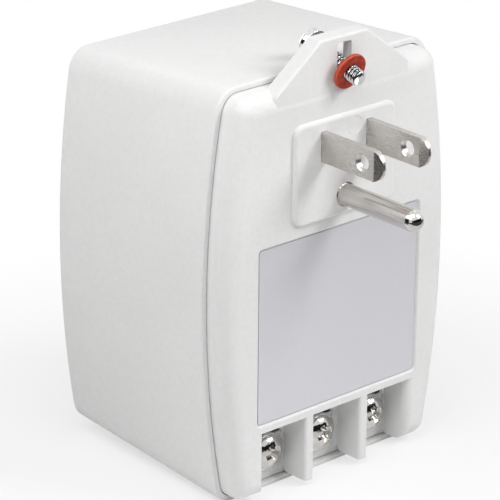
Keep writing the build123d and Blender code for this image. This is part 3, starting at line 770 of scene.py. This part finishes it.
def bobbin_nylon():
    """Natural nylon with a soft sheen and slight flow marks."""
    graph = Graph("bobbin_nylon")
    flow = graph.noise(6.0, detail=3.0, distortion=0.8)
    grain = graph.noise(0.3)
    return graph.done(
        Base_Color=graph.tones(flow, 0.3, 0.7, (0.74, 0.71, 0.6, 1), (0.8, 0.78, 0.68, 1)),
        Roughness=graph.spread(grain, 0.34, 0.48),
        Normal=graph.bump(grain, 0.015, strength=0.3),
    )


def enamelled_copper():
    """Layers of enamelled wire laid side by side."""
    graph = Graph("enamelled_copper")
    wires = graph.bands("Z", 0.45, distortion=0.15)
    shade = graph.noise(5.0, detail=3.0)
    wire = graph.tones(shade, 0.3, 0.7, (0.46, 0.17, 0.06, 1), (0.6, 0.26, 0.1, 1))
    return graph.done(
        Base_Color=graph.tones(wires, 0.0, 0.5, (0.13, 0.04, 0.015, 1), wire),
        Metallic=0.8,
        Roughness=graph.spread(shade, 0.22, 0.34),
        Normal=graph.bump(wires, 0.15, strength=0.8),
    )


def polyester_tape():
    """Glossy yellow film tape with the edge lines of its turns and trapped air."""
    graph = Graph("polyester_tape")
    laps = graph.bands("Z", 4.0, distortion=0.1)
    air = graph.noise(2.5, detail=3.0)
    film = graph.tones(laps, 0.0, 0.15, (0.5, 0.3, 0.02, 1), (0.72, 0.46, 0.04, 1))
    return graph.done(
        Base_Color=graph.blend(graph.spread(air, 0.0, 0.25, 0.55, 0.75), film, (0.8, 0.6, 0.16, 1)),
        Roughness=graph.spread(air, 0.16, 0.3),
        Normal=graph.bump(air, 0.05, strength=0.3),
    )


def lead_insulation(name, dark, light):
    """Extruded insulation with faint draw lines."""
    graph = Graph(name)
    drawn = graph.noise(0.4, vector=graph.stretched((1.0, 1.0, 0.1)))
    return graph.done(
        Base_Color=graph.tones(drawn, 0.3, 0.7, dark, light),
        Roughness=graph.spread(drawn, 0.4, 0.55),
        Normal=graph.bump(drawn, 0.02, strength=0.3),
    )


def dress(piece, material):
    """Give a piece one material in every slot."""
    if not piece.material_slots:
        piece.data.materials.append(material)
    for holder in piece.material_slots:
        holder.material = material


def is_seen(tree):
    """1 for camera, glossy and transmission rays, which see the white background, and 0 for the others."""
    path = tree.nodes.new("ShaderNodeLightPath")
    value = path.outputs["Is Camera Ray"]
    for kind in ("Is Glossy Ray", "Is Transmission Ray"):
        highest = tree.nodes.new("ShaderNodeMath")
        highest.operation = "MAXIMUM"
        tree.links.new(value, highest.inputs[0])
        tree.links.new(path.outputs[kind], highest.inputs[1])
        value = highest.outputs[0]
    return value


def mix_shaders(tree, factor, first, second):
    """Mix Shader node over two shader outputs."""
    mix = tree.nodes.new("ShaderNodeMixShader")
    tree.links.new(factor, mix.inputs[0])
    tree.links.new(first, mix.inputs[1])
    tree.links.new(second, mix.inputs[2])
    return mix.outputs[0]


def make_world():
    """World that is white where it is seen and dimmer as a light."""
    world = bpy.data.worlds.new("studio")
    world.use_nodes = True
    scene.world = world
    sky = world.node_tree
    sky.nodes.clear()
    seen_sky = sky.nodes.new("ShaderNodeBackground")
    lit_sky = sky.nodes.new("ShaderNodeBackground")
    lit_sky.inputs["Strength"].default_value = WORLD_LIGHT
    for background in (seen_sky, lit_sky):
        background.inputs["Color"].default_value = WHITE
    sky_out = sky.nodes.new("ShaderNodeOutputWorld")
    sky_mix = mix_shaders(sky, is_seen(sky), lit_sky.outputs[0], seen_sky.outputs[0])
    sky.links.new(sky_mix, sky_out.inputs["Surface"])


def floor_paper():
    """Matt paper that runs out into the white background away from the object and is clear from below."""
    graph = Graph("floor_paper")
    away = graph.spread(graph.length(graph.place), FLOOR_GLOW, 1.0, FLOOR_NEAR, FLOOR_FAR)
    fade = graph.math("MULTIPLY", away, is_seen(graph.tree))
    glow = graph.tree.nodes.new("ShaderNodeEmission")
    glow.inputs["Color"].default_value = WHITE
    clear = graph.tree.nodes.new("ShaderNodeBsdfTransparent")
    facing = graph.tree.nodes.new("ShaderNodeNewGeometry")
    top_side = mix_shaders(graph.tree, fade, graph.shader.outputs[0], glow.outputs[0])
    both_sides = mix_shaders(graph.tree, facing.outputs["Backfacing"], top_side, clear.outputs[0])
    graph.tree.links.new(both_sides, graph.tree.nodes["Material Output"].inputs["Surface"])
    return graph.done(
        Base_Color=(0.9, 0.9, 0.9, 1),
        Roughness=0.9,
        Specular_IOR_Level=0.1,
        Normal=graph.bump(graph.noise(0.6), 0.02, strength=0.2),
    )


def card_felt(name, tone):
    """Matt neutral felt of one tone."""
    graph = Graph(name)
    return graph.done(Base_Color=(tone, tone, tone, 1), Roughness=graph.spread(graph.noise(2.0), 0.85, 1.0))


def quad(name, corners, material):
    """Flat object with four corners, in metres, and one material."""
    data = bpy.data.meshes.new(name)
    data.from_pydata(corners, [], [(0, 1, 2, 3)])
    data.materials.append(material)
    item = bpy.data.objects.new(name, data)
    scene.collection.objects.link(item)
    return item


def make_floor():
    """Wide floor at the object's foot."""
    floor = quad("floor", box_outline(FLOOR_HALF, FLOOR_HALF, 0), floor_paper())
    middle = (cad_box[0] + cad_box[1]) / 2
    floor.location = (middle.x, middle.y, cad_box[0].z)


def make_lamps():
    """Lamps that face the object and that the camera doesn't see."""
    for name, place, size, power in LAMPS:
        lamp = bpy.data.lights.new(name, "AREA")
        lamp.shape = "SQUARE"
        lamp.size = size * MM
        lamp.energy = power
        holder = bpy.data.objects.new(name, lamp)
        holder.visible_camera = False
        holder.location = place * MM
        holder.rotation_mode = "QUATERNION"
        holder.rotation_quaternion = (FOCUS - place).to_track_quat("-Z", "Y")
        scene.collection.objects.link(holder)


def make_cards():
    """Cards round the object that only reflections see."""
    for name, tone, corner, along, across in CARDS:
        corners = [corner, corner + along, corner + along + across, corner + across]
        card = quad(name, [point * MM for point in corners], card_felt(name, tone))
        card.visible_camera = False
        card.visible_diffuse = False
        card.visible_transmission = False
        card.visible_shadow = False


def make_camera():
    """Camera with the photograph's view."""
    back = Vector(
        (
            math.sin(CAMERA_AZIMUTH) * math.cos(CAMERA_ELEVATION),
            -math.cos(CAMERA_AZIMUTH) * math.cos(CAMERA_ELEVATION),
            math.sin(CAMERA_ELEVATION),
        )
    )
    level = Vector((math.cos(CAMERA_AZIMUTH), math.sin(CAMERA_AZIMUTH), 0))
    upright = back.cross(level)
    right = level * math.cos(CAMERA_ROLL) + upright * math.sin(CAMERA_ROLL)
    upward = upright * math.cos(CAMERA_ROLL) - level * math.sin(CAMERA_ROLL)
    view = bpy.data.cameras.new("photo_view")
    view.lens = LENS
    view.sensor_width = SENSOR
    view.clip_end = CLIP_END
    camera = bpy.data.objects.new("photo_view", view)
    scene.collection.objects.link(camera)
    pose = Matrix((right, upward, back)).transposed().to_4x4()
    pose.translation = (CAMERA_TARGET + back * CAMERA_DISTANCE) * MM
    camera.matrix_world = pose
    scene.camera = camera


# Pieces that stand for CAD nodes
chrome = bright_plating("screw_chrome", (0.68, 0.685, 0.69, 1), (0.8, 0.8, 0.8, 1), painted_root_shade=True)
nickel = bright_plating("terminal_nickel", (0.54, 0.525, 0.5, 1), (0.68, 0.665, 0.645, 1), painted_root_shade=False)
zinc = washer_zinc()
pieces = [(make_mounting_screw(), "mounting_screw", "screw", chrome)]
pieces.append((make_fibre_washer(), "retaining_washer", "fibre", red_fibre()))
for side_name in SIDES:
    pieces.append((make_terminal_screw(side_name), f"terminal_screw_{side_name}", "screw", nickel))
    pieces.append((make_terminal_washer(side_name), f"terminal_washer_{side_name}", "screw", zinc))
for piece, node, slot, material in pieces:
    dress(piece, material)
    dress(nodes[node], material)
    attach(piece, node)
    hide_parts(node)

# CAD nodes that stay
case = case_plastic()
plug = plug_nickel()
plate = plate_nickel()
lamination = lamination_steel()
copper = enamelled_copper()
tape = polyester_tape()
red = lead_insulation("lead_red", (0.36, 0.02, 0.015, 1), (0.48, 0.035, 0.025, 1))
dressed = {
    "front_cover": case,
    "rear_housing": case,
    "rating_label": label_foil(),
    "line_blade": plug,
    "neutral_blade": plug,
    "ground_pin": pin_nickel(),
    "core_e_stack": lamination,
    "core_i_stack": lamination,
    "bobbin": bobbin_nylon(),
    "primary_winding": copper,
    "secondary_winding": copper,
    "primary_tape": tape,
    "secondary_tape": tape,
    "line_lead": lead_insulation("lead_black", (0.012, 0.012, 0.012, 1), (0.03, 0.03, 0.03, 1)),
    "neutral_lead": lead_insulation("lead_white", (0.66, 0.66, 0.64, 1), (0.76, 0.76, 0.74, 1)),
    "ground_lead": lead_insulation("lead_green", (0.01, 0.16, 0.035, 1), (0.02, 0.24, 0.06, 1)),
    "secondary_lead_left": red,
    "secondary_lead_right": red,
}
for side_name in SIDES:
    dressed[f"terminal_plate_{side_name}"] = plate
for node, material in dressed.items():
    dress(nodes[node], material)

# Mark on the pad
pad_mark = make_pad_mark()
dress(pad_mark, case)
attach(pad_mark, "case")

# Studio
make_world()
make_floor()
make_lamps()
make_cards()
make_camera()
scene.view_settings.view_transform = "Standard"
